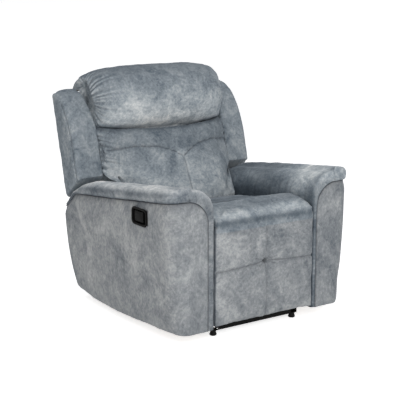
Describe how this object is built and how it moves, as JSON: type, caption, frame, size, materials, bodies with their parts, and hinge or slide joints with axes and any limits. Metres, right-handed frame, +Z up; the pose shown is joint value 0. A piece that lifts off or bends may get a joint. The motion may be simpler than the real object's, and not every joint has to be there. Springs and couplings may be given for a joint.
{
  "type": "home theater recliner",
  "caption": "Padded velvet armchair whose winged back reclines as the seat glides forward, with a swing-out footrest on folding links and a pull latch in the side of one arm.",
  "frame": {"origin": "on the floor, at the centre of the chair's overall box in plan", "axes": "+Z up, -Y to the front of the chair, +X to the sitter's left, which is the arm without the handle"},
  "size_m": [0.99, 1.0469, 1.0894],
  "materials": {
    "velvet": "mottled blue-grey velvet over foam",
    "plywood": "raw plywood",
    "black_steel": "black powder coat",
    "black_plastic": "satin black",
    "glide_plastic": "matte black",
    "cable_jacket": "matte black"
  },
  "bodies": {
    "base": {"base_rail_left": "black_steel", "base_rail_right": "black_steel", "base_bar_front": "black_steel", "base_bar_rear": "black_steel", "foot_front_left": "glide_plastic", "foot_front_right": "glide_plastic", "foot_rear_left": "glide_plastic", "foot_rear_right": "glide_plastic", "side_plate_left": "black_steel", "side_plate_right": "black_steel", "arm_board_left": "plywood", "arm_board_right": "plywood", "arm_post_front_left": "plywood", "arm_post_front_right": "plywood", "arm_post_rear_left": "plywood", "arm_post_rear_right": "plywood", "arm_rail_left": "plywood", "arm_rail_right": "plywood", "arm_cover_left": "velvet", "arm_cover_right": "velvet", "arm_pad_left": "velvet", "arm_pad_right": "velvet", "rear_rail": "velvet", "handle_cup": "black_plastic", "release_cable": "cable_jacket"},
    "seat": {"seat_rail_left": "plywood", "seat_rail_right": "plywood", "seat_rail_front": "plywood", "seat_rail_rear": "plywood", "seat_springs": "black_steel", "seat_cushion": "velvet", "seat_plate_left": "black_steel", "seat_plate_right": "black_steel"},
    "back": {"back_post_left": "plywood", "back_post_right": "plywood", "back_rail_bottom": "plywood", "back_rail_shoulder": "plywood", "back_rail_top": "plywood", "back_springs": "black_steel", "lumbar_cushion": "velvet", "head_roll": "velvet", "wing_left": "velvet", "wing_right": "velvet", "back_panel": "velvet", "hinge_bracket_left": "black_steel", "hinge_bracket_right": "black_steel"},
    "footrest": {"footrest_board": "plywood", "footrest_pad": "velvet", "footrest_bracket_left": "black_steel", "footrest_bracket_right": "black_steel"},
    "drive": {"drive_link_left": "black_steel", "drive_link_right": "black_steel", "drive_tube": "black_steel"},
    "control": {"control_link_left": "black_steel", "control_link_right": "black_steel"},
    "carry": {"carry_link_left": "black_steel", "carry_link_right": "black_steel"},
    "brace": {"brace_link_left": "black_steel", "brace_link_right": "black_steel"},
    "paddle": {"handle_paddle": "black_plastic"}
  },
  "joints": [
    {"name": "back_recline", "type": "hinge", "parent": "base", "child": "back", "pos_m": [0, 0.279, 0.325], "axis": [-1, 0, 0], "range_deg": [0, 30]},
    {"name": "seat_glide", "type": "slide", "parent": "base", "child": "seat", "axis": [0, -1, 0], "range_m": [0, 0.0518]},
    {"name": "footrest_open", "type": "hinge", "parent": "seat", "child": "footrest", "pos_m": [0, -0.558, 0.5155], "axis": [-1, 0, 0], "range_deg": [0, 88]},
    {"name": "drive_turn", "type": "hinge", "parent": "seat", "child": "drive", "pos_m": [0, -0.307, 0.345], "axis": [-1, 0, 0], "range_deg": [0, 88]},
    {"name": "control_turn", "type": "hinge", "parent": "seat", "child": "control", "pos_m": [0, -0.2491, 0.30567], "axis": [-1, 0, 0], "range_deg": [0, 88]},
    {"name": "carry_turn", "type": "hinge", "parent": "drive", "child": "carry", "pos_m": [0, -0.1905, 0.1595], "axis": [-1, 0, 0], "range_deg": [-88, 0]},
    {"name": "brace_turn", "type": "hinge", "parent": "drive", "child": "brace", "pos_m": [0, -0.15859, 0.10869], "axis": [-1, 0, 0], "range_deg": [-88, 0]},
    {"name": "release_pull", "type": "hinge", "parent": "base", "child": "paddle", "pos_m": [-0.483, -0.2575, 0.528], "axis": [0, 0, -1], "range_deg": [0, 25], "stiffness_Nm_per_rad": 0.4}
  ],
  "couplings": [
    {"joint": "seat_glide", "follows": "back_recline", "m_per_rad": 0.09886},
    {"joint": "drive_turn", "follows": "footrest_open", "ratio": 1},
    {"joint": "control_turn", "follows": "footrest_open", "ratio": 1},
    {"joint": "carry_turn", "follows": "footrest_open", "ratio": -1},
    {"joint": "brace_turn", "follows": "footrest_open", "ratio": -1}
  ]
}
